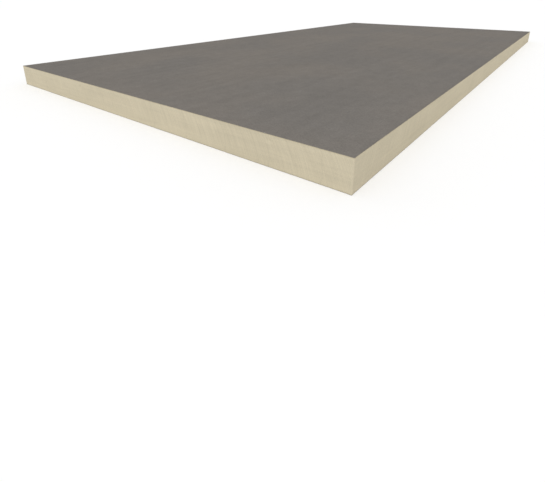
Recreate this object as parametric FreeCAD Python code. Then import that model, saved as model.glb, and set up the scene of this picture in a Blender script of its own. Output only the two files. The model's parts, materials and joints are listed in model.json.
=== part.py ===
"""Polyiso roof insulation board: a rigid foam core between two bonded felt facers.

The foam rises between two running webs of felt and bonds to them, and the laminate is then sawn
square on all four sides, so every layer has the same outline and ends flush with the others.

Frame: millimetres, +X along the length, +Y across the width, +Z up through the thickness, with the
origin at the middle of the underside.
"""

import FreeCAD, Part
import os

# Driving dimensions
BOARD_LENGTH = 2438.4     # sawn length along X, eight feet
BOARD_WIDTH = 1219.2      # sawn width along Y, four feet
BOARD_THICKNESS = 63.5    # over both facers, two and a half inches
FACER_THICKNESS = 0.6     # glass-reinforced felt, the same web on both faces

# Heights of the two bond lines, where the foam meets the felt
LOWER_BOND = FACER_THICKNESS
UPPER_BOND = BOARD_THICKNESS - FACER_THICKNESS


def sawn_outline(height):
    """The rectangle that the saws leave, as a face at the given height, centred on the Z axis."""
    half_length = BOARD_LENGTH / 2
    half_width = BOARD_WIDTH / 2
    corners = [
        FreeCAD.Vector(-half_length, -half_width, height),
        FreeCAD.Vector(half_length, -half_width, height),
        FreeCAD.Vector(half_length, half_width, height),
        FreeCAD.Vector(-half_length, half_width, height),
    ]
    return Part.Face(Part.makePolygon(corners + corners[:1]))


def layer(bottom, top):
    """One layer of the laminate: the sawn outline carried straight up between two heights."""
    return sawn_outline(bottom).extrude(FreeCAD.Vector(0, 0, top - bottom))


def bottom_facer():
    """The felt web on the underside, which the board lies on."""
    return layer(0, LOWER_BOND)


def foam_core():
    """The closed-cell foam, from one bond line to the other, bare on its four sawn sides."""
    return layer(LOWER_BOND, UPPER_BOND)


def top_facer():
    """The felt web on the upper face."""
    return layer(UPPER_BOND, BOARD_THICKNESS)


def main():
    """Build the layers from the bottom up and write one file for each."""
    os.makedirs("parts", exist_ok=True)
    bottom_facer().exportStep("parts/bottom_facer.step")
    foam_core().exportStep("parts/foam_core.step")
    top_facer().exportStep("parts/top_facer.step")


main()
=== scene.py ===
"""Looks of a polyiso roof insulation board: a rigid foam core between two bonded felt facers.

Each layer of the frame is made again as one closed surface. A section profile is carried round the sawn
outline and drawn in to the board's middle line, so that the saw's marks, the voids that it opens and the
cut lips of the felt are real shapes. Lengths are in metres.
"""

from __future__ import annotations

import json
import logging
import math
from abc import ABC, abstractmethod
from dataclasses import dataclass, field
from enum import Enum
from functools import cache, partial, reduce

import bpy
import numpy as np
from mathutils import Matrix, Vector

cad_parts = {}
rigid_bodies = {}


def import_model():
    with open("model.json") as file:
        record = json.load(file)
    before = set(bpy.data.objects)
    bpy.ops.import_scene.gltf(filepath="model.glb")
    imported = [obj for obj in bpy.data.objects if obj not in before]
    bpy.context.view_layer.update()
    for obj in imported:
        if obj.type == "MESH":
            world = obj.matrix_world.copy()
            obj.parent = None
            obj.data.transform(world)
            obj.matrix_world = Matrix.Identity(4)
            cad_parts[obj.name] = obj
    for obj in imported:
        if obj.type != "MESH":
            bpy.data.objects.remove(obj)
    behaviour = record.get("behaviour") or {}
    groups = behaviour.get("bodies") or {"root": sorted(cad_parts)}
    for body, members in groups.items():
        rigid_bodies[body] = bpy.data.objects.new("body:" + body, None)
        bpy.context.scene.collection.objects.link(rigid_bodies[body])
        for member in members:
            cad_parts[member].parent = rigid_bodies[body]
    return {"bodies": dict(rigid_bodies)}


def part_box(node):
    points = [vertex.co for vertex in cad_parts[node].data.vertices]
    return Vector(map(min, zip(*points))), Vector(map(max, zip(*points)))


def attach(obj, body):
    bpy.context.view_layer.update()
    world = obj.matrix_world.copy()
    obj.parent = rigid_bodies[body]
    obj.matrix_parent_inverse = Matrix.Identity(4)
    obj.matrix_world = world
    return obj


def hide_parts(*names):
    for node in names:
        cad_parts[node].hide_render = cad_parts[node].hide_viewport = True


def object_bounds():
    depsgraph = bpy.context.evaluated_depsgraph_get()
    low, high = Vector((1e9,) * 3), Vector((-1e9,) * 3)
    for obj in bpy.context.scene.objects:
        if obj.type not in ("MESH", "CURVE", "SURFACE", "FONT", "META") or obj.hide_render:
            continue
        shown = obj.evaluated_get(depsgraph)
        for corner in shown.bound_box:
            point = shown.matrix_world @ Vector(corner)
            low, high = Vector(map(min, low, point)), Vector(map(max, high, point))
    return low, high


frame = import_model()
CAD_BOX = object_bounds()

LOG = logging.getLogger("insulation_board")
MM = 0.001
SIDES = 4
QUARTER_TURN = math.pi / 2
# The level that a noise swings about
NOISE_MIDDLE = 0.5
# The laminate is one rigid body
(BODY,) = frame["bodies"]
# The map that a piece brings for its own bakes, and the attribute with the place along the saw's cut
BAKE_MAP = "OFBake"
CUT_PLACE = "cut_place"

Socket = bpy.types.NodeSocket
Term = Socket | float | tuple
Terms = dict[str | int, Term]
Colour = tuple[float, float, float, float]
Triple = tuple[float, float, float]
Pair = tuple[float, float]
Heights = np.ndarray | float


class Layer(Enum):
    """The layers of the laminate, named as in the frame, from the bottom up."""

    BOTTOM_FACER = "bottom_facer"
    FOAM_CORE = "foam_core"
    TOP_FACER = "top_facer"


class Slot(Enum):
    """The record's material slots."""

    FOAM = "foam"
    FELT = "facer_felt"


class Facing(Enum):
    """Which way a facer's outer side looks."""

    UP = "up"
    DOWN = "down"


class Takes(Enum):
    """What an input of an effect takes."""

    VALUE = "NodeSocketFloat"
    VECTOR = "NodeSocketVector"


def smooth_step(value: np.ndarray, width: float) -> np.ndarray:
    """Rise from 0 to 1 as the value goes from 0 to the width, by a cubic that is level at both ends."""
    share = np.clip(value / width, 0, 1)
    return share * share * (3 - 2 * share)


def uneven_waves(place: np.ndarray, lengths: tuple[float, ...], seed: int) -> np.ndarray:
    """The mean of sines of the given wave lengths, each with a random phase.

    Args:
        place: distances to evaluate the waves at.
        lengths: the wave lengths.
        seed: seed of the phases.

    Returns:
        Values from -1 to 1 in the shape of place.
    """
    phases = np.random.default_rng(seed).uniform(0, math.tau, len(lengths))
    return np.sin(math.tau * place[..., None] / np.array(lengths) + phases).mean(axis=-1)


@dataclass(frozen=True)
class Columns:
    """What the surfaces need to know at each point round the sawn outline.

    Attributes:
        at: the outline's points, counter-clockwise from the middle of the +X end, shape (n, 2).
        out: the outward directions there, shape (n, 2).
        middle: the points of the board's middle line that the faces are drawn in to, shape (n, 2).
        along: the distance along the side that a point is on, from that side's middle.
        side: 0 for the +X end, then counter-clockwise to 3.
        from_corner: the distance along the side to the start of the corner's rounding.
    """

    at: np.ndarray
    out: np.ndarray
    middle: np.ndarray
    along: np.ndarray
    side: np.ndarray
    from_corner: np.ndarray


@dataclass(frozen=True)
class SawnOutline:
    """The rectangle that the saws leave, with its corners a little blunted by handling.

    Attributes:
        half_length: half of its length.
        half_width: half of its width.
        corner_radius: the rounding of a corner.
        corner_steps: the steps of that rounding.
    """

    half_length: float
    half_width: float
    corner_radius: float = 1.2 * MM
    corner_steps: int = 5

    def columns(self, step: float) -> Columns:
        """Points round the outline, the two halves mirrored in the middle line.

        Each point is a point of the rectangle shrunk by the corner radius, plus the radius times the
        outward direction, which turns through a quarter circle at each corner.

        Args:
            step: the distance between points on the straight sides.

        Returns:
            The outline's columns.
        """
        end = self.half_width - self.corner_radius
        long = self.half_length - self.corner_radius
        quarter = np.linspace(0, QUARTER_TURN, self.corner_steps, endpoint=False)
        rise = np.linspace(0, end, round(end / step), endpoint=False)
        run = np.linspace(long, -long, round(2 * long / step), endpoint=False)
        fall = np.linspace(end, 0, round(end / step) + 1)
        # Half of the +X end, a corner, the +Y side, a corner and half of the -X end, as x, y and angle
        half = np.concatenate([
            np.broadcast_arrays(long, rise, 0.0),
            np.broadcast_arrays(long, end, quarter),
            np.broadcast_arrays(run, end, QUARTER_TURN),
            np.broadcast_arrays(-long, end, quarter + QUARTER_TURN),
            np.broadcast_arrays(-long, fall, 2 * QUARTER_TURN),
        ], axis=1)
        mirrored = half[:, -2:0:-1] * np.array([[1], [-1], [-1]])
        x, y, angle = np.concatenate([half, mirrored], axis=1)
        out = np.stack([np.cos(angle), np.sin(angle)], axis=1)
        at = np.stack([x, y], axis=1) + self.corner_radius * out
        reach = self.half_length - self.half_width
        on_end = np.abs(out[:, 0]) > np.abs(out[:, 1])
        return Columns(
            at=at,
            out=out,
            middle=np.stack([np.clip(at[:, 0], -reach, reach), np.zeros_like(x)], axis=1),
            along=np.where(on_end, y, x),
            side=np.round(angle / QUARTER_TURN).astype(int) % SIDES,
            from_corner=np.where(on_end, end - np.abs(y), long - np.abs(x)),
        )


@dataclass(frozen=True)
class SawCut:
    """The trim saw's cut, which goes through all the layers at once.

    Attributes:
        blade_radius: the blade's radius.
        arbor_drop: how far below the board's underside the blade's middle runs.
        mark_lengths: lengths of the waves that the blade leaves along a side.
        mark_depth: how deep these go at most.
        wander_lengths: lengths of the slow waves that the blade wanders in.
        wander_depth: how far it wanders at most.
        corner_run: how far from a corner the cut has its full depth.
        side_shift: how far the waves are moved on from side to side, so that no two sides are alike.
        seed: seed of the waves.
    """

    blade_radius: float = 230 * MM
    arbor_drop: float = 55 * MM
    mark_lengths: tuple[float, ...] = (11 * MM, 16.5 * MM, 29 * MM)
    mark_depth: float = 0.4 * MM
    wander_lengths: tuple[float, ...] = (260 * MM, 410 * MM, 730 * MM)
    wander_depth: float = 0.25 * MM
    corner_run: float = 9 * MM
    side_shift: float = 5.0
    seed: int = 11

    def side_place(self, columns: Columns) -> np.ndarray:
        """The distance along the side that a point is on, moved on from side to side."""
        return columns.along + self.side_shift * columns.side

    def fade(self, columns: Columns) -> np.ndarray:
        """The share of the cut's depth that is left towards the corners."""
        return smooth_step(columns.from_corner, self.corner_run)

    def tooth_place(self, columns: Columns, height: Heights) -> np.ndarray:
        """The place along the cut that stays the same on the arc that a tooth leaves.

        The arc is of a circle whose middle lies below the board, so the place lags by the circle's
        sagitta at the height.

        Args:
            columns: the outline's columns.
            height: heights above the board's underside, in a shape that goes with the columns.

        Returns:
            Distances along the cut.
        """
        rise = height + self.arbor_drop
        lag = self.blade_radius - np.sqrt(self.blade_radius**2 - rise**2)
        return self.side_place(columns) - lag

    def depth(self, columns: Columns, height: Heights) -> np.ndarray:
        """How far the cut lies inside the outline: uneven waves along the teeth's arcs and a slow wander.

        Args:
            columns: the outline's columns.
            height: heights above the board's underside, in a shape that goes with the columns.

        Returns:
            Depths, 0 or more.
        """
        marks = uneven_waves(self.tooth_place(columns, height), self.mark_lengths, self.seed)
        wander = uneven_waves(self.side_place(columns), self.wander_lengths, self.seed + 1)
        depth = self.mark_depth * (1 - marks) / 2 + self.wander_depth * (1 - wander) / 2
        return depth * self.fade(columns)


def face_corners(values: np.ndarray) -> np.ndarray:
    """The values at the four corners of each face, from values at points in rows round the outline."""
    after = np.roll(values, -1, axis=1)
    return np.stack([values[:-1], after[:-1], after[1:], values[1:]], axis=2)


@dataclass(frozen=True)
class ClosedSurface:
    """Rows of points round the outline, closed by a first and a last row that lie on the middle line.

    Attributes:
        columns: the outline's columns.
        grid: points of shape (rows, columns, 3), bottom row first, columns counter-clockwise from above.
        chart: places of the faces' corners on the bake map, shape (rows - 1, columns, 4, 2).
        weld_digits: decimals of a metre to which points of the middle line are the same.
        square_edge: the angle from which an edge stays sharp.
    """

    columns: Columns
    grid: np.ndarray
    chart: np.ndarray
    weld_digits: int = 6
    square_edge: float = math.radians(60)

    def middle_points(self) -> tuple[np.ndarray, np.ndarray]:
        """The vertices on the middle line, where columns that share a place share a vertex.

        Returns:
            For each vertex the first column that it stands for, and for each column its vertex.
        """
        along = self.columns.middle[:, 0].round(self.weld_digits)
        _, first, vertex = np.unique(along, return_index=True, return_inverse=True)
        return first, vertex

    def at_vertices(self, values: np.ndarray) -> np.ndarray:
        """The values at the mesh's vertices, from values at the grid's points.

        Args:
            values: values of shape (rows, columns, n).

        Returns:
            Values of shape (vertices, n).
        """
        first, _ = self.middle_points()
        inner = values[1:-1].reshape(-1, values.shape[-1])
        return np.concatenate([values[0, first], inner, values[-1, first]])

    def mesh(self, name: str) -> bpy.types.Mesh:
        """The closed mesh.

        Four neighbours are a face. Points of an end row that share a place on the middle line are one
        vertex, and a face that loses a corner to that is a triangle.

        Args:
            name: the mesh's name.

        Returns:
            The mesh, smooth but for its square edges.
        """
        rows, count = self.grid.shape[:2]
        first, vertex = self.middle_points()
        inner = len(first) + np.arange((rows - 2) * count).reshape(rows - 2, count)
        index = np.concatenate([vertex[None], inner, vertex[None] + len(first) + inner.size])
        vertices = self.at_vertices(self.grid)
        corners = face_corners(index).reshape(-1, 4)
        chart = self.chart.reshape(-1, 4, 2)
        low = corners[:, 0] == corners[:, 1]
        high = corners[:, 2] == corners[:, 3]
        # Which faces keep which of their corners
        kinds = [(~(low | high), [0, 1, 2, 3]), (low, [0, 2, 3]), (high, [0, 1, 2])]
        loops = np.concatenate([corners[faces][:, kept].ravel() for faces, kept in kinds])
        places = np.concatenate([chart[faces][:, kept].ravel() for faces, kept in kinds])
        sizes = np.concatenate([np.full(faces.sum(), len(kept)) for faces, kept in kinds])
        mesh = bpy.data.meshes.new(name)
        mesh.vertices.add(len(vertices))
        mesh.vertices.foreach_set("co", vertices.astype(np.float32).ravel())
        mesh.loops.add(len(loops))
        mesh.loops.foreach_set("vertex_index", loops.astype(np.int32))
        mesh.polygons.add(len(sizes))
        mesh.polygons.foreach_set("loop_start", (np.cumsum(sizes) - sizes).astype(np.int32))
        mesh.polygons.foreach_set("use_smooth", np.ones(len(sizes), bool))
        mesh.uv_layers.new(name=BAKE_MAP).uv.foreach_set("vector", places.astype(np.float32))
        mesh.update(calc_edges=True)
        mesh.validate()
        mesh.set_sharp_from_angle(angle=self.square_edge)
        return mesh


class NodeSheet:
    """Short calls for placing and joining nodes in one node tree."""

    def __init__(self, tree: bpy.types.NodeTree) -> None:
        """Work on the given tree."""
        self.tree = tree

    def node(self, kind: str, terms: Terms | None = None, **settings: object) -> bpy.types.Node:
        """Place a node and feed its inputs.

        Args:
            kind: the node's type.
            terms: an output to join to, or a value, for each input by its name or number.
            settings: the node's properties by name.

        Returns:
            The node.
        """
        made = self.tree.nodes.new(kind)
        for name, value in settings.items():
            setattr(made, name, value)
        for key, term in (terms or {}).items():
            if isinstance(term, Socket):
                self.tree.links.new(term, made.inputs[key])
            else:
                made.inputs[key].default_value = term
        return made

    def maths(self, operation: str, *terms: Term) -> Socket:
        """Place a Math node, with its inputs in order."""
        made = self.node("ShaderNodeMath", dict(enumerate(terms)), operation=operation)
        return made.outputs["Value"]

    def vectors(self, operation: str, *terms: Term) -> Socket:
        """Place a Vector Math node, with its inputs in order."""
        made = self.node("ShaderNodeVectorMath", dict(enumerate(terms)), operation=operation)
        return made.outputs["Vector"]

    def joined(self, operation: str, *terms: Term) -> Socket:
        """Carry a Math node's operation through all the terms, such as a product or a highest value."""
        return reduce(partial(self.maths, operation), terms)

    def axis(self, place: Socket, name: str) -> Socket:
        """The distance of a place along the axis X, Y or Z."""
        return self.node("ShaderNodeSeparateXYZ", {"Vector": place}).outputs[name]

    def ramp(self, value: Term, low: Term, high: Term, to: Pair = (0.0, 1.0)) -> Socket:
        """Carry a value smoothly from one range to another and hold it at the ends.

        Args:
            value: the value.
            low: where the range starts.
            high: where it ends.
            to: the results there.

        Returns:
            The result.
        """
        terms = {"Value": value, "From Min": low, "From Max": high, "To Min": to[0], "To Max": to[1]}
        return self.node("ShaderNodeMapRange", terms, interpolation_type="SMOOTHSTEP").outputs["Result"]

    def blend(self, share: Socket, first: Triple, second: Triple) -> Socket:
        """Mix two colours: the first, plus a share of the step from it to the second."""
        step = tuple(after - before for before, after in zip(first, second))
        return self.vectors("MULTIPLY_ADD", share, step, first)

    def noise(self, place: Socket, size: Socket, **terms: Term) -> Socket:
        """Place a noise with features of the given size along each axis, and its other inputs by name."""
        scaled = {"Vector": self.vectors("DIVIDE", place, size), "Scale": 1.0}
        return self.node("ShaderNodeTexNoise", scaled | terms).outputs["Fac"]

    def effect(self, group: bpy.types.NodeTree, **terms: Term) -> Socket:
        """Place an effect's group, with its inputs by name, and give its output."""
        return self.node("ShaderNodeGroup", terms, node_tree=group).outputs[0]


def bare_sheet(owner: bpy.types.Material | bpy.types.World) -> NodeSheet:
    """Empty the node tree of a new material or world.

    Args:
        owner: the material or the world.

    Returns:
        Its sheet.
    """
    owner.use_nodes = True
    owner.node_tree.nodes.clear()
    return NodeSheet(owner.node_tree)


class GroupSheet(NodeSheet):
    """The node tree of an effect's group, which has named inputs and puts out one value.

    Attributes:
        given: the inputs as sources, by name.
    """

    def __init__(self, name: str, output: str, **inputs: Takes) -> None:
        """Start the group with its sockets.

        Args:
            name: the group's name.
            output: the name of its output.
            inputs: what each input takes, by name.
        """
        super().__init__(bpy.data.node_groups.new(name, "ShaderNodeTree"))
        for socket, takes in inputs.items():
            self.tree.interface.new_socket(name=socket, in_out="INPUT", socket_type=takes.value)
        self.tree.interface.new_socket(name=output, in_out="OUTPUT", socket_type=Takes.VALUE.value)
        self.given = self.node("NodeGroupInput").outputs

    def ended(self, result: Socket) -> bpy.types.NodeTree:
        """Put out the result, and hand over the group."""
        self.node("NodeGroupOutput", {0: result})
        return self.tree


@dataclass(frozen=True)
class Mottle:
    """Lighter and darker patches.

    Attributes:
        size: how large a patch is along each axis.
        contrast: how far the shade swings about 1.
        detail: how many finer sizes are added.
    """

    size: Triple
    contrast: float
    detail: float = 3.0

    @classmethod
    @cache
    def group(cls) -> bpy.types.NodeTree:
        """Build the group once: a noise on the place divided by the patch's size, swinging about 1.

        Returns:
            The group.
        """
        sheet = GroupSheet(
            "mottle", "Shade",
            Place=Takes.VECTOR, Size=Takes.VECTOR, Detail=Takes.VALUE, Contrast=Takes.VALUE)
        given = sheet.given
        noise = sheet.noise(given["Place"], given["Size"], Detail=given["Detail"])
        swing = sheet.maths("DIVIDE", sheet.maths("SUBTRACT", noise, NOISE_MIDDLE), NOISE_MIDDLE)
        return sheet.ended(sheet.maths("MULTIPLY_ADD", swing, given["Contrast"], 1.0))

    def lay(self, sheet: NodeSheet, place: Socket) -> Socket:
        """Lay the patches on a material, as a shade about 1."""
        terms = {"Size": self.size, "Detail": self.detail, "Contrast": self.contrast}
        return sheet.effect(self.group(), Place=place, **terms)


@dataclass(frozen=True)
class Flecks:
    """Scattered specks.

    Attributes:
        SMALLEST: the smallest speck's radius, as a share of the usual one.
        SPREAD: how much more the largest has.
        CORE: the share of a speck's radius inside which it is full.
        spacing: the distance between the places that may have one.
        radius: a speck's usual radius.
        share: the share of the places that have one.
    """

    SMALLEST = 0.7
    SPREAD = 0.6
    CORE = 0.4

    spacing: float
    radius: float
    share: float

    @classmethod
    @cache
    def group(cls) -> bpy.types.NodeTree:
        """Build the group once: in a share of a random lattice's cells, a soft ball round the point there.

        Returns:
            The group.
        """
        sheet = GroupSheet(
            "flecks", "Mask",
            Place=Takes.VECTOR, Spacing=Takes.VALUE, Radius=Takes.VALUE, Share=Takes.VALUE)
        given = sheet.given
        lattice = {"Vector": given["Place"], "Scale": sheet.maths("DIVIDE", 1.0, given["Spacing"])}
        cells = sheet.node("ShaderNodeTexVoronoi", lattice).outputs
        draws = sheet.node("ShaderNodeSeparateColor", {"Color": cells["Color"]}).outputs
        shown = sheet.maths("LESS_THAN", draws["Red"], given["Share"])
        growth = sheet.maths("MULTIPLY_ADD", draws["Green"], cls.SPREAD, cls.SMALLEST)
        reach = sheet.maths("MULTIPLY", sheet.maths("DIVIDE", given["Radius"], given["Spacing"]), growth)
        core = sheet.maths("MULTIPLY", reach, cls.CORE)
        ball = sheet.ramp(cells["Distance"], core, reach, (1.0, 0.0))
        return sheet.ended(sheet.maths("MULTIPLY", ball, shown))

    def lay(self, sheet: NodeSheet, place: Socket) -> Socket:
        """Lay the specks on a material, as a mask that is 1 in a speck."""
        terms = {"Spacing": self.spacing, "Radius": self.radius, "Share": self.share}
        return sheet.effect(self.group(), Place=place, **terms)


@dataclass(frozen=True)
class Threads:
    """Fine threads lying in a few directions.

    Attributes:
        BEND: how far threads stray from their line.
        DETAIL: how many finer sizes the straying has.
        length: about how long a thread is.
        pitch: about how far apart threads lie.
        fineness: a thread's width, as a share of the swing of the noise that places it.
        turns: the directions, as angles from the board's length in radians.
    """

    BEND = 0.6
    DETAIL = 1.0

    length: float
    pitch: float
    fineness: float
    turns: tuple[float, ...]

    @classmethod
    @cache
    def group(cls) -> bpy.types.NodeTree:
        """Build the group once, for one direction: the mid-level lines of a noise drawn out along it.

        Returns:
            The group.
        """
        sheet = GroupSheet(
            "threads", "Height",
            Place=Takes.VECTOR, Turn=Takes.VALUE, Size=Takes.VECTOR, Fineness=Takes.VALUE)
        given = sheet.given
        turn = {"Vector": given["Place"], "Angle": given["Turn"]}
        turned = sheet.node("ShaderNodeVectorRotate", turn, rotation_type="Z_AXIS").outputs["Vector"]
        noise = sheet.noise(turned, given["Size"], Detail=cls.DETAIL, Distortion=cls.BEND)
        off = sheet.maths("ABSOLUTE", sheet.maths("SUBTRACT", noise, NOISE_MIDDLE))
        return sheet.ended(sheet.ramp(off, 0.0, given["Fineness"], (1.0, 0.0)))

    def lay(self, sheet: NodeSheet, place: Socket) -> Socket:
        """Lay the threads of all directions on a material.

        Args:
            sheet: the material's sheet.
            place: the place on the piece.

        Returns:
            A height, 1 on top of a thread.
        """
        terms = {"Size": (self.length, self.pitch, self.pitch), "Fineness": self.fineness}
        lying = [sheet.effect(self.group(), Place=place, Turn=turn, **terms) for turn in self.turns]
        return sheet.joined("MAXIMUM", *lying)


@dataclass(frozen=True)
class Patterns:
    """What a finish lays on its material.

    Attributes:
        tint: the colour.
        shade: what the colour is multiplied by.
        grain: the fine grain, which also roughens the surface.
        height: the shape of the relief.
    """

    tint: Socket
    shade: Socket
    grain: Socket
    height: Socket


@dataclass(frozen=True, kw_only=True)
class Finish(ABC):
    """A finish of the board: a shaded colour and a low relief, roughened by a fine grain.

    Attributes:
        shine: the specular level.
        roughness: the roughness without the grain.
        grain_roughness: what the grain adds.
        relief: how high a step of 1 in the relief is.
        relief_strength: how much of the relief shows.
    """

    shine: float
    roughness: float
    grain_roughness: float
    relief: float
    relief_strength: float

    @abstractmethod
    def patterns(self, sheet: NodeSheet, place: Socket) -> Patterns:
        """Lay the finish's patterns on a material.

        Args:
            sheet: the material's sheet.
            place: the place on the piece.

        Returns:
            The patterns.
        """

    def material(self, name: str) -> bpy.types.Material:
        """Build the material.

        Args:
            name: its name.

        Returns:
            The material.
        """
        material = bpy.data.materials.new(name)
        sheet = bare_sheet(material)
        laid = self.patterns(sheet, sheet.node("ShaderNodeTexCoord").outputs["Object"])
        relief = {"Height": laid.height, "Distance": self.relief, "Strength": self.relief_strength}
        shader = sheet.node("ShaderNodeBsdfPrincipled", {
            "Base Color": sheet.vectors("MULTIPLY", laid.tint, laid.shade),
            "Roughness": sheet.maths("MULTIPLY_ADD", laid.grain, self.grain_roughness, self.roughness),
            "Specular IOR Level": self.shine,
            "Normal": sheet.node("ShaderNodeBump", relief).outputs["Normal"],
        })
        sheet.node("ShaderNodeOutputMaterial", {"Surface": shader.outputs["BSDF"]})
        return material


@dataclass(frozen=True, kw_only=True)
class FeltFinish(Finish):
    """Glass-reinforced felt: warm grey paper stock with pale glass threads and the web's faint streaks.

    Attributes:
        colour: the felt's colour.
        warm_colour: its colour in the lighter clouds.
        clouds: broad patches.
        warm_band: the share of the clouds' swing in which the colour turns.
        blots: patches a few fingers wide.
        streaks: streaks along the web.
        nap: the fine nap, which is the felt's grain.
        threads: the glass threads.
        thread_paleness: how much paler a thread is.
        thread_cover: about how much of the felt the threads cover.
        thread_rise: how high a thread stands, against the nap.
        flecks: dark flecks in the stock.
        fleck_darkness: how much darker a fleck is.
    """

    shine: float = 0.01
    roughness: float = 0.66
    grain_roughness: float = 0.25
    relief: float = 0.25 * MM
    relief_strength: float = 0.35
    colour: Triple = (0.191, 0.178, 0.1635)
    warm_colour: Triple = (0.197, 0.180, 0.1615)
    clouds: Mottle = Mottle((330 * MM, 250 * MM, 250 * MM), 0.08)
    warm_band: float = 0.33
    blots: Mottle = Mottle((36 * MM, 28 * MM, 28 * MM), 0.10)
    streaks: Mottle = Mottle((1100 * MM, 24 * MM, 24 * MM), 0.08)
    nap: Mottle = Mottle((2.4 * MM, 2.4 * MM, 2.4 * MM), 0.22, 2.0)
    threads: Threads = Threads(38 * MM, 3.3 * MM, 0.03, (0.15, 1.2, 2.2))
    thread_paleness: float = 0.10
    thread_cover: float = 0.33
    thread_rise: float = 0.5
    flecks: Flecks = Flecks(15 * MM, 1.1 * MM, 0.5)
    fleck_darkness: float = 0.18

    def patterns(self, sheet: NodeSheet, place: Socket) -> Patterns:
        """Lay the felt's patterns: the colour turns warmer in the lighter clouds, and threads stand up.

        Args:
            sheet: the material's sheet.
            place: the place on the piece.

        Returns:
            The patterns.
        """
        clouds = self.clouds.lay(sheet, place)
        nap = self.nap.lay(sheet, place)
        threads = self.threads.lay(sheet, place)
        flecks = self.flecks.lay(sheet, place)
        between_threads = 1 - self.thread_paleness * self.thread_cover
        turn = self.clouds.contrast * self.warm_band
        return Patterns(
            tint=sheet.blend(sheet.ramp(clouds, 1 - turn, 1 + turn), self.colour, self.warm_colour),
            shade=sheet.joined(
                "MULTIPLY",
                clouds,
                nap,
                self.blots.lay(sheet, place),
                self.streaks.lay(sheet, place),
                sheet.maths("MULTIPLY_ADD", threads, self.thread_paleness, between_threads),
                sheet.maths("MULTIPLY_ADD", flecks, -self.fleck_darkness, 1.0),
            ),
            grain=nap,
            height=sheet.maths("MULTIPLY_ADD", threads, self.thread_rise, nap),
        )


@dataclass(frozen=True, kw_only=True)
class FoamFinish(Finish):
    """Sawn closed-cell foam: tan, with flow lines, fine cells, saw lines and a denser skin at the bond.

    Attributes:
        width: the slab's width.
        bottom: the height of its lower bond.
        top: the height of its upper bond.
        colour: the foam's colour.
        skin_colour: its colour where it lies against a facer.
        skin_depth: how far from the facer the skin reaches.
        clouds: broad patches.
        flow: lines of stretched cells along the rise of the foam.
        cells: the fine cells, which are the foam's grain.
        saw_lines: fine lines along the teeth's arcs, by the place along the cut and the height.
        saw_rise: how high the saw lines stand, against the cells.
        pinholes: small holes.
        pinhole_painted_shade: how much darker a hole is painted, as painted shade for the shade that falls
            inside it.
        knits: how many lines between the poured streams an end shows.
        knit_width: half the width of such a line.
        knit_darkness: how much darker it is.
        knit_waver: how far it strays.
        waver: the sizes that it strays in.
    """

    width: float
    bottom: float
    top: float
    shine: float = 0.10
    roughness: float = 0.7
    grain_roughness: float = 0.2
    relief: float = 0.3 * MM
    relief_strength: float = 0.5
    colour: Triple = (0.604, 0.539, 0.399)
    skin_colour: Triple = (0.535, 0.470, 0.332)
    skin_depth: float = 2.5 * MM
    clouds: Mottle = Mottle((140 * MM, 140 * MM, 70 * MM), 0.07)
    flow: Mottle = Mottle((165 * MM, 165 * MM, 5.3 * MM), 0.09)
    cells: Mottle = Mottle((0.8 * MM, 0.8 * MM, 0.8 * MM), 0.22, 2.0)
    saw_lines: Mottle = Mottle((2.2 * MM, 80 * MM, 80 * MM), 0.14, 2.0)
    saw_rise: float = 2.0
    pinholes: Flecks = Flecks(12.5 * MM, 1.3 * MM, 0.35)
    pinhole_painted_shade: float = 0.35
    knits: int = 11
    knit_width: float = 2.2 * MM
    knit_darkness: float = 0.05
    knit_waver: float = 22 * MM
    waver: Mottle = Mottle((300 * MM, 300 * MM, 45 * MM), 1.0)

    def knit_lines(self, sheet: NodeSheet, place: Socket) -> Socket:
        """Darker lines where the poured streams met, which the cross cut shows on the ends.

        The streams lie side by side along the board, and the saw has halved the outer two, so the lines
        are the slab's width over their number apart. They waver on the way up.

        Args:
            sheet: the material's sheet.
            place: the place on the piece.

        Returns:
            A shade, 1 away from the lines.
        """
        pitch = self.width / self.knits
        waver = sheet.maths("SUBTRACT", self.waver.lay(sheet, place), 1.0)
        strayed = sheet.maths("MULTIPLY_ADD", waver, self.knit_waver, sheet.axis(place, "Y"))
        line = sheet.maths("PINGPONG", strayed, pitch / 2)
        return sheet.ramp(line, 0.0, self.knit_width, (1 - self.knit_darkness, 1.0))

    def skin(self, sheet: NodeSheet, place: Socket) -> Socket:
        """The denser skin against the two facers.

        Args:
            sheet: the material's sheet.
            place: the place on the piece.

        Returns:
            A mask, 1 at the bond.
        """
        height = sheet.axis(place, "Z")
        lower = sheet.ramp(height, self.bottom, self.bottom + self.skin_depth, (1.0, 0.0))
        upper = sheet.ramp(height, self.top - self.skin_depth, self.top)
        return sheet.maths("MAXIMUM", lower, upper)

    def patterns(self, sheet: NodeSheet, place: Socket) -> Patterns:
        """Lay the foam's patterns: saw lines and cells stand up, and pinholes are sunk, with painted shade
        inside.

        Args:
            sheet: the material's sheet.
            place: the place on the piece.

        Returns:
            The patterns.
        """
        cut = sheet.node("ShaderNodeAttribute", attribute_name=CUT_PLACE).outputs["Vector"]
        cells = self.cells.lay(sheet, place)
        saw_lines = self.saw_lines.lay(sheet, cut)
        pinholes = self.pinholes.lay(sheet, place)
        raised = sheet.maths("MULTIPLY_ADD", saw_lines, self.saw_rise, cells)
        return Patterns(
            tint=sheet.blend(self.skin(sheet, place), self.colour, self.skin_colour),
            shade=sheet.joined(
                "MULTIPLY",
                cells,
                saw_lines,
                self.clouds.lay(sheet, place),
                self.flow.lay(sheet, place),
                self.knit_lines(sheet, place),
                # pinholes are painted darker: painted shade for the shade inside each hole
                sheet.maths("MULTIPLY_ADD", pinholes, -self.pinhole_painted_shade, 1.0),
            ),
            grain=cells,
            height=sheet.maths("SUBTRACT", raised, pinholes),
        )


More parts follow.
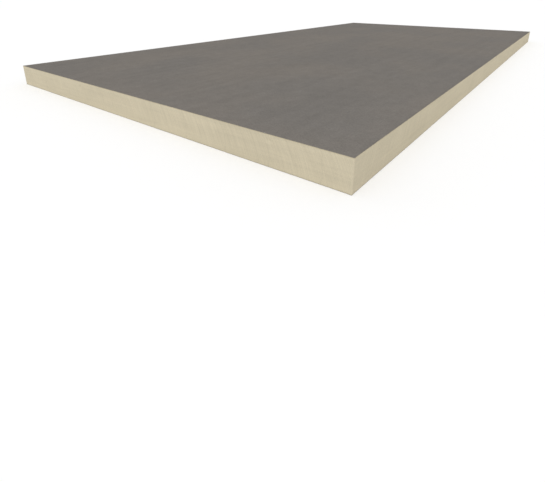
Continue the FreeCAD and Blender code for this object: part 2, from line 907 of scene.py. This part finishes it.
@dataclass(kw_only=True)
class BoardLayer(ABC):
    """One layer of the laminate, made again as a closed surface in place of its frame node.

    Attributes:
        layer: the frame node.
        slot: the record's slot for the layer's finish.
        map_gap: the gap round each area of the bake map.
        low: the layer's lowest corner.
        high: its highest corner.
    """

    layer: Layer
    slot: Slot
    map_gap: float = 0.004
    low: np.ndarray = field(init=False)
    high: np.ndarray = field(init=False)

    def __post_init__(self) -> None:
        """Read the layer's place from the frame."""
        self.low, self.high = (np.array(corner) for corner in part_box(self.layer.value))

    def name(self) -> str:
        """The name of the layer's new piece."""
        return self.layer.value + "_sawn"

    def on_map(self, share: np.ndarray, low: Pair, high: Pair) -> np.ndarray:
        """Fit places into a box of the bake map, less the gap round it.

        Args:
            share: places as shares of the box's sides, shape (..., 2).
            low: the box's lowest corner.
            high: its highest corner.

        Returns:
            Places on the map.
        """
        start = np.array(low) + self.map_gap
        end = np.array(high) - self.map_gap
        return start + share * (end - start)

    @abstractmethod
    def shape(self, outline: SawnOutline, saw: SawCut) -> bpy.types.Mesh:
        """Make the layer's mesh.

        Args:
            outline: the sawn outline.
            saw: the saw's cut.

        Returns:
            The mesh.
        """

    def dress(self, mesh: bpy.types.Mesh, material: bpy.types.Material) -> bpy.types.Object:
        """Put the layer's new mesh in the scene with its finish, in place of the frame node.

        Args:
            mesh: the new mesh.
            material: its finish.

        Returns:
            The piece.
        """
        mesh.materials.append(material)
        piece = bpy.data.objects.new(self.name(), mesh)
        bpy.context.scene.collection.objects.link(piece)
        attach(piece, BODY)
        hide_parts(self.layer.value)
        return piece

    def build(self, outline: SawnOutline, saw: SawCut, material: bpy.types.Material) -> bpy.types.Object:
        """Make the layer on the sawn outline and dress it."""
        return self.dress(self.shape(outline, saw), material)


@dataclass(kw_only=True)
class FoamCore(BoardLayer):
    """The foam slab: plain under the facers, and sawn on its four sides.

    Attributes:
        step: the distance between points round the outline.
        wall_rows: the rows of points up a side.
        void_cell: length and height of the cells of the lattice that voids are scattered by.
        void_share: the share of the cells that hold a void.
        void_margin: how far a void's middle keeps from its cell's edges, as a share of the cell.
        void_radius: the smallest and the largest void's radius.
        void_rarity: how rare large voids are, as the power of the draw that sets the radius.
        void_stretch: how many times longer than high a void is.
        void_depth: a void's depth as a share of its radius.
        map_bands: the number of bands that the sides are cut into on the bake map.
        map_sides: the share of the map's height that the sides take.
        seed: seed of the voids.
    """

    layer: Layer = Layer.FOAM_CORE
    slot: Slot = Slot.FOAM
    step: float = 2.3 * MM
    wall_rows: int = 27
    void_cell: Pair = (42 * MM, 20.7 * MM)
    void_share: float = 0.16
    void_margin: float = 0.2
    void_radius: Pair = (1.6 * MM, 3.6 * MM)
    void_rarity: float = 3.0
    void_stretch: float = 1.7
    void_depth: float = 0.45
    map_bands: int = 8
    map_sides: float = 0.76
    seed: int = 13

    def open_voids(self, columns: Columns, height: np.ndarray) -> np.ndarray:
        """Depth of the small voids that the saw opens: in some cells of a lattice, one round-bottomed dip.

        A dip's depth falls off as a Gaussian of the distance from its middle, which is drawn out along
        the side.

        Args:
            columns: the outline's columns.
            height: heights above the slab's underside, shape (rows, 1).

        Returns:
            Depths of shape (rows, columns), 0 or more.
        """
        cell_length, cell_height = self.void_cell
        smallest, largest = self.void_radius
        across = columns.along / cell_length
        up = height / cell_height
        column = np.floor(across).astype(int)
        row = np.floor(up).astype(int)
        draws_each = 4
        cells = (SIDES, np.ptp(column) + 1, np.ptp(row) + 1, draws_each)
        draws = np.random.default_rng(self.seed).random(cells)[columns.side, column - column.min(), row]
        chance, middle_across, middle_up, size = np.moveaxis(draws, -1, 0)
        room = 1 - 2 * self.void_margin
        off_across = (across - column - self.void_margin - room * middle_across) * cell_length
        off_up = (up - row - self.void_margin - room * middle_up) * cell_height
        radius = smallest + (largest - smallest) * size**self.void_rarity
        distance = np.hypot(off_across / self.void_stretch, off_up)
        dip = self.void_depth * radius * np.exp(-(distance / radius) ** 2)
        return np.where(chance < self.void_share, dip, 0)

    def chart(self, grid: np.ndarray) -> np.ndarray:
        """The bake map: the sides cut into bands, and the two hidden faces small above them, side by side.

        Args:
            grid: the slab's points.

        Returns:
            Places of the faces' corners, shape (rows - 1, columns, 4, 2).
        """
        # The sides: a face lies in the band, and at the place along it, that its column falls in
        count = grid.shape[1]
        wall_faces = self.wall_rows - 1
        band_columns = math.ceil(count / self.map_bands)
        band, place = np.divmod(np.arange(count), band_columns)
        across = np.stack([place, place + 1, place + 1, place], axis=1) / band_columns
        up = (np.arange(wall_faces)[:, None, None] + np.array([0, 0, 1, 1])) / wall_faces
        band_height = self.map_sides / self.map_bands
        sides = self.on_map(np.stack(np.broadcast_arrays(across, up), axis=-1), (0, 0), (1, band_height))
        sides[..., 1] += band_height * band[:, None]
        # The hidden faces, as seen from above
        half_map = 0.5
        seen = (grid[..., :2] - self.low[:2]) / (self.high[:2] - self.low[:2])
        under = self.on_map(seen[:2], (0, self.map_sides), (half_map, 1))
        over = self.on_map(seen[-2:], (half_map, self.map_sides), (1, 1))
        return np.concatenate([face_corners(under), sides, face_corners(over)])

    def shape(self, outline: SawnOutline, saw: SawCut) -> bpy.types.Mesh:
        """Make the slab's mesh.

        The profile runs from the middle line out along the underside, up the side and back in along the
        top. On the side a point is pulled in by the saw's cut and the voids that it opens. The vertices
        of the side keep their place along the cut, for the finish.

        Args:
            outline: the sawn outline.
            saw: the saw's cut.

        Returns:
            The mesh.
        """
        columns = outline.columns(self.step)
        height = np.linspace(0, self.high[2] - self.low[2], self.wall_rows)[:, None]
        level = self.low[2] + height
        depth = saw.depth(columns, level) + self.open_voids(columns, height) * saw.fade(columns)
        side = columns.at - depth[..., None] * columns.out
        grid = np.zeros((self.wall_rows + 2, len(columns.at), 3))
        grid[..., :2] = np.concatenate([columns.middle[None], side, columns.middle[None]])
        grid[..., 2] = np.concatenate([level[:1], level, level[-1:]])
        cut = np.zeros_like(grid)
        cut[1:-1, :, 0] = saw.tooth_place(columns, level)
        cut[..., 2] = grid[..., 2]
        surface = ClosedSurface(columns, grid, self.chart(grid))
        mesh = surface.mesh(self.name())
        marks = mesh.attributes.new(CUT_PLACE, "FLOAT_VECTOR", "POINT")
        marks.data.foreach_set("vector", surface.at_vertices(cut).astype(np.float32).ravel())
        return mesh


@dataclass(kw_only=True)
class FeltFacer(BoardLayer):
    """One felt web: flat at the bond, faintly cockled outside, with a soft cut lip all round.

    Attributes:
        facing: which way the outer side looks.
        seed: seed of the fray and the cockle.
        step: the distance between points round the outline.
        lip_radius: the rounding of the lip.
        lip_steps: the steps of that rounding.
        outer_rows: the rows of points from the lip to the middle line.
        row_crowding: how closely the rows crowd at the lip, as the power of their share of the way.
        fray_lengths: lengths of the waves that the cut edge frayed in.
        fray_depth: how far it frayed at most.
        fray_reach: how far in from the edge the cut's waves reach.
        cockle_lengths: lengths of the web's waves.
        cockle_depth: how deep these go at most.
        cockle_reach: how far in from the edge they have their full depth.
        map_lip: how wide the lip is drawn on the bake map.
        map_outside: the share of the map's height that the outer side takes.
    """

    slot: Slot = Slot.FELT
    facing: Facing
    seed: int
    step: float = 4 * MM
    lip_radius: float = 0.35 * MM
    lip_steps: int = 3
    outer_rows: int = 13
    row_crowding: float = 2.6
    fray_lengths: tuple[float, ...] = (19 * MM, 31 * MM, 67 * MM)
    fray_depth: float = 0.2 * MM
    fray_reach: float = 12 * MM
    cockle_lengths: tuple[float, ...] = (170 * MM, 290 * MM, 530 * MM)
    cockle_depth: float = 0.12 * MM
    cockle_reach: float = 10 * MM
    map_lip: float = 5 * MM
    map_outside: float = 0.93

    def profile(self) -> tuple[np.ndarray, np.ndarray, np.ndarray]:
        """The section: from the middle line out along the bond, round the lip and back along the outside.

        The lip is a quarter circle. A row's way in from there to the middle line is a power of its share.

        Returns:
            Row by row: the distance in from the cut edge, the depth below the outer side, and the
            distance in once the lip is rolled out flat.
        """
        thickness = self.high[2] - self.low[2]
        half_width = self.high[1]
        turn = np.linspace(0, QUARTER_TURN, self.lip_steps + 1)
        lip_in = self.lip_radius * (1 - np.cos(turn))
        lip_down = self.lip_radius * (1 - np.sin(turn))
        way_in = np.linspace(0, 1, self.outer_rows + 1)[1:] ** self.row_crowding
        outer = self.lip_radius + way_in * (half_width - self.lip_radius)
        inset = np.concatenate([[half_width, 0], lip_in, outer])
        depth = np.concatenate([[thickness, thickness], lip_down, np.zeros(self.outer_rows)])
        rolled_lip = np.linspace(-self.map_lip, self.lip_radius, self.lip_steps + 2)
        rolled = np.concatenate([[half_width], rolled_lip, outer])
        return inset, depth, rolled

    def drawn_in(self, columns: Columns, inset: np.ndarray) -> np.ndarray:
        """Points that lie an inset's share of the way from the cut edge to the middle line.

        Args:
            columns: the outline's columns.
            inset: the distance in from the cut edge, row by row.

        Returns:
            Points of shape (rows, columns, 2).
        """
        share = (inset / self.high[1])[:, None, None]
        return columns.at * (1 - share) + columns.middle * share

    def chart(self, columns: Columns, rolled: np.ndarray) -> np.ndarray:
        """The bake map: the outer side with its lip rolled out, and the hidden bonded side low above it.

        Args:
            columns: the outline's columns.
            rolled: the distance in once the lip is rolled out flat, row by row.

        Returns:
            Places of the faces' corners, shape (rows - 1, columns, 4, 2).
        """
        half = self.high[:2] + self.map_lip
        share = (self.drawn_in(columns, rolled) / half + 1) / 2
        outside = self.on_map(share, (0, 0), (1, self.map_outside))
        bonded = self.on_map(share, (0, self.map_outside), (1, 1))
        return np.concatenate([face_corners(bonded[:2]), face_corners(outside[1:])])

    def shape(self, outline: SawnOutline, saw: SawCut) -> bpy.types.Mesh:
        """Make the web's mesh.

        The cut edge is pulled in by the saw's cut and by uneven waves where the felt frayed, which fade
        out over about a centimetre. The outer side sinks by the product of two uneven waves, one along
        each axis.

        Args:
            outline: the sawn outline.
            saw: the saw's cut.

        Returns:
            The mesh.
        """
        columns = outline.columns(self.step)
        inset, depth, rolled = self.profile()
        fray = uneven_waves(saw.side_place(columns), self.fray_lengths, self.seed)
        pull = saw.depth(columns, (self.low[2] + self.high[2]) / 2)
        pull = pull + self.fray_depth * (1 - fray) / 2 * saw.fade(columns)
        reach = 1 - smooth_step(inset, self.fray_reach)
        flat = self.drawn_in(columns, inset) - columns.out * (reach[:, None] * pull)[..., None]
        swell = uneven_waves(flat[..., 0], self.cockle_lengths, self.seed + 1)
        swell = swell * uneven_waves(flat[..., 1], self.cockle_lengths, self.seed + 2)
        outside = (depth == 0) * smooth_step(inset, self.cockle_reach)
        down = depth[:, None] + outside[:, None] * self.cockle_depth * (1 - swell) / 2
        chart = self.chart(columns, rolled)
        if self.facing is Facing.UP:
            grid = np.concatenate([flat, (self.high[2] - down)[..., None]], axis=-1)
        else:
            grid = np.concatenate([flat, (self.low[2] + down)[..., None]], axis=-1)[::-1]
            chart = chart[::-1, :, ::-1]
        return ClosedSurface(columns, grid, chart).mesh(self.name())


@dataclass
class InsulationBoard:
    """The whole laminate, sawn in one go.

    Attributes:
        bottom: the web underneath.
        core: the foam slab.
        top: the web on top.
        felt: the finish of both webs.
        saw: the cut through all three.
    """

    bottom: FeltFacer = field(
        default_factory=lambda: FeltFacer(layer=Layer.BOTTOM_FACER, facing=Facing.DOWN, seed=41))
    core: FoamCore = field(default_factory=FoamCore)
    top: FeltFacer = field(
        default_factory=lambda: FeltFacer(layer=Layer.TOP_FACER, facing=Facing.UP, seed=29))
    felt: FeltFinish = FeltFinish()
    saw: SawCut = SawCut()

    def build(self) -> list[bpy.types.Object]:
        """Make the three layers on one outline, from the bottom up.

        Returns:
            The pieces.
        """
        low, high = CAD_BOX
        outline = SawnOutline(half_length=(high.x - low.x) / 2, half_width=(high.y - low.y) / 2)
        foam = FoamFinish(
            width=self.core.high[1] - self.core.low[1], bottom=self.core.low[2], top=self.core.high[2])
        finishes = {Slot.FELT: self.felt, Slot.FOAM: foam}
        materials = {slot: finish.material(slot.value) for slot, finish in finishes.items()}
        layers = (self.bottom, self.core, self.top)
        return [layer.build(outline, self.saw, materials[layer.slot]) for layer in layers]


@dataclass
class Studio:
    """A plain white floor, even light from all round with one soft lamp, and the photograph's camera.

    Attributes:
        image_width: the photograph's width in pixels.
        image_height: its height.
        focal_px: the lens's focal length in pixels.
        axis_px: the pixel that the lens looks straight at.
        eye: where the camera stands.
        heading_deg: the way that it looks, from the board's length towards its width.
        dip_deg: how far it looks down.
        sky_strength: the even light.
        lamp_strength: the lamp's light.
        lamp_angle_deg: how wide the lamp is, seen from the board.
        lamp_from: the direction that it shines from.
        white: what the camera sees behind the board.
        floor_paint: the floor's own colour.
        floor_lift: what lifts the floor to white for the camera.
        floor_size: the floor's side.
        floor_drop: how far the floor lies below the board.
    """

    image_width: int = 545
    image_height: int = 482
    focal_px: float = 378.69
    axis_px: Pair = (272.5, 120.0)
    eye: Triple = (-1.7001, -0.8302, 0.2961)
    heading_deg: float = 37.970
    dip_deg: float = 18.589
    sky_strength: float = 0.72
    lamp_strength: float = 1.15
    lamp_angle_deg: float = 40.0
    lamp_from: Triple = (-0.62, -0.30, 0.725)
    white: Colour = (1.0, 1.0, 1.0, 1.0)
    floor_paint: Colour = (0.8, 0.8, 0.8, 1.0)
    floor_lift: float = 0.22
    floor_size: float = 120.0
    floor_drop: float = 0.05 * MM

    def build(self) -> None:
        """Set up the view, the floor, the light and the camera."""
        bpy.context.scene.view_settings.view_transform = "Standard"
        self.lay_floor()
        self.light()
        self.aim_camera()

    def seeing_rays(self, sheet: NodeSheet) -> Socket:
        """A mask, 1 for the rays that show the studio as it looks rather than light the board.

        Args:
            sheet: the material's or the world's sheet.

        Returns:
            The mask.
        """
        path = sheet.node("ShaderNodeLightPath").outputs
        rays = ("Is Camera Ray", "Is Glossy Ray", "Is Transmission Ray")
        return sheet.joined("MAXIMUM", *(path[ray] for ray in rays))

    def lay_floor(self) -> None:
        """Lay a level floor just under the board, lifted to white for the camera with its shadows."""
        half = self.floor_size / 2
        level = -self.floor_drop
        corners = [(-half, -half, level), (half, -half, level), (half, half, level), (-half, half, level)]
        mesh = bpy.data.meshes.new("floor")
        mesh.from_pydata(corners, [], [(0, 1, 2, 3)])
        floor = bpy.data.objects.new("floor", mesh)
        bpy.context.scene.collection.objects.link(floor)
        material = bpy.data.materials.new("floor_white")
        sheet = bare_sheet(material)
        strength = sheet.maths("MULTIPLY", self.seeing_rays(sheet), self.floor_lift)
        paint = sheet.node("ShaderNodeBsdfDiffuse", {"Color": self.floor_paint})
        lift = sheet.node("ShaderNodeEmission", {"Color": self.white, "Strength": strength})
        both = sheet.node("ShaderNodeAddShader", {0: paint.outputs["BSDF"], 1: lift.outputs["Emission"]})
        sheet.node("ShaderNodeOutputMaterial", {"Surface": both.outputs["Shader"]})
        mesh.materials.append(material)

    def light(self) -> None:
        """Light the board evenly from all round and with one wide lamp, with white behind it."""
        world = bpy.data.worlds.new("studio")
        bpy.context.scene.world = world
        sheet = bare_sheet(world)
        strength = sheet.ramp(self.seeing_rays(sheet), 0.0, 1.0, (self.sky_strength, 1.0))
        sky = sheet.node("ShaderNodeBackground", {"Color": self.white, "Strength": strength})
        sheet.node("ShaderNodeOutputWorld", {"Surface": sky.outputs["Background"]})
        lamp = bpy.data.lights.new("soft_lamp", "SUN")
        lamp.energy = self.lamp_strength
        lamp.angle = math.radians(self.lamp_angle_deg)
        holder = bpy.data.objects.new("soft_lamp", lamp)
        holder.rotation_euler = Vector(self.lamp_from).to_track_quat("Z", "Y").to_euler()
        bpy.context.scene.collection.objects.link(holder)

    def aim_camera(self) -> None:
        """Stand the camera where the photograph's corners put it, shifted as far as its framing needs."""
        heading = math.radians(self.heading_deg)
        dip = math.radians(self.dip_deg)
        level = math.cos(dip)
        ahead = Vector((math.cos(heading) * level, math.sin(heading) * level, -math.sin(dip)))
        lens = bpy.data.cameras.new("camera")
        lens.sensor_fit = "HORIZONTAL"
        lens.lens = self.focal_px * lens.sensor_width / self.image_width
        lens.shift_x = (self.image_width / 2 - self.axis_px[0]) / self.image_width
        lens.shift_y = (self.axis_px[1] - self.image_height / 2) / self.image_width
        camera = bpy.data.objects.new("camera", lens)
        turn = (-ahead).to_track_quat("Z", "Y").to_matrix().to_4x4()
        camera.matrix_world = Matrix.Translation(self.eye) @ turn
        bpy.context.scene.collection.objects.link(camera)
        bpy.context.scene.camera = camera


def main() -> None:
    """Build the board, report its pieces, and set up the studio."""
    logging.basicConfig(level=logging.INFO, format="%(name)s: %(message)s")
    for piece in InsulationBoard().build():
        LOG.info("%s: %d faces", piece.name, len(piece.data.polygons))
    Studio().build()


if __name__ == "__main__":
    main()
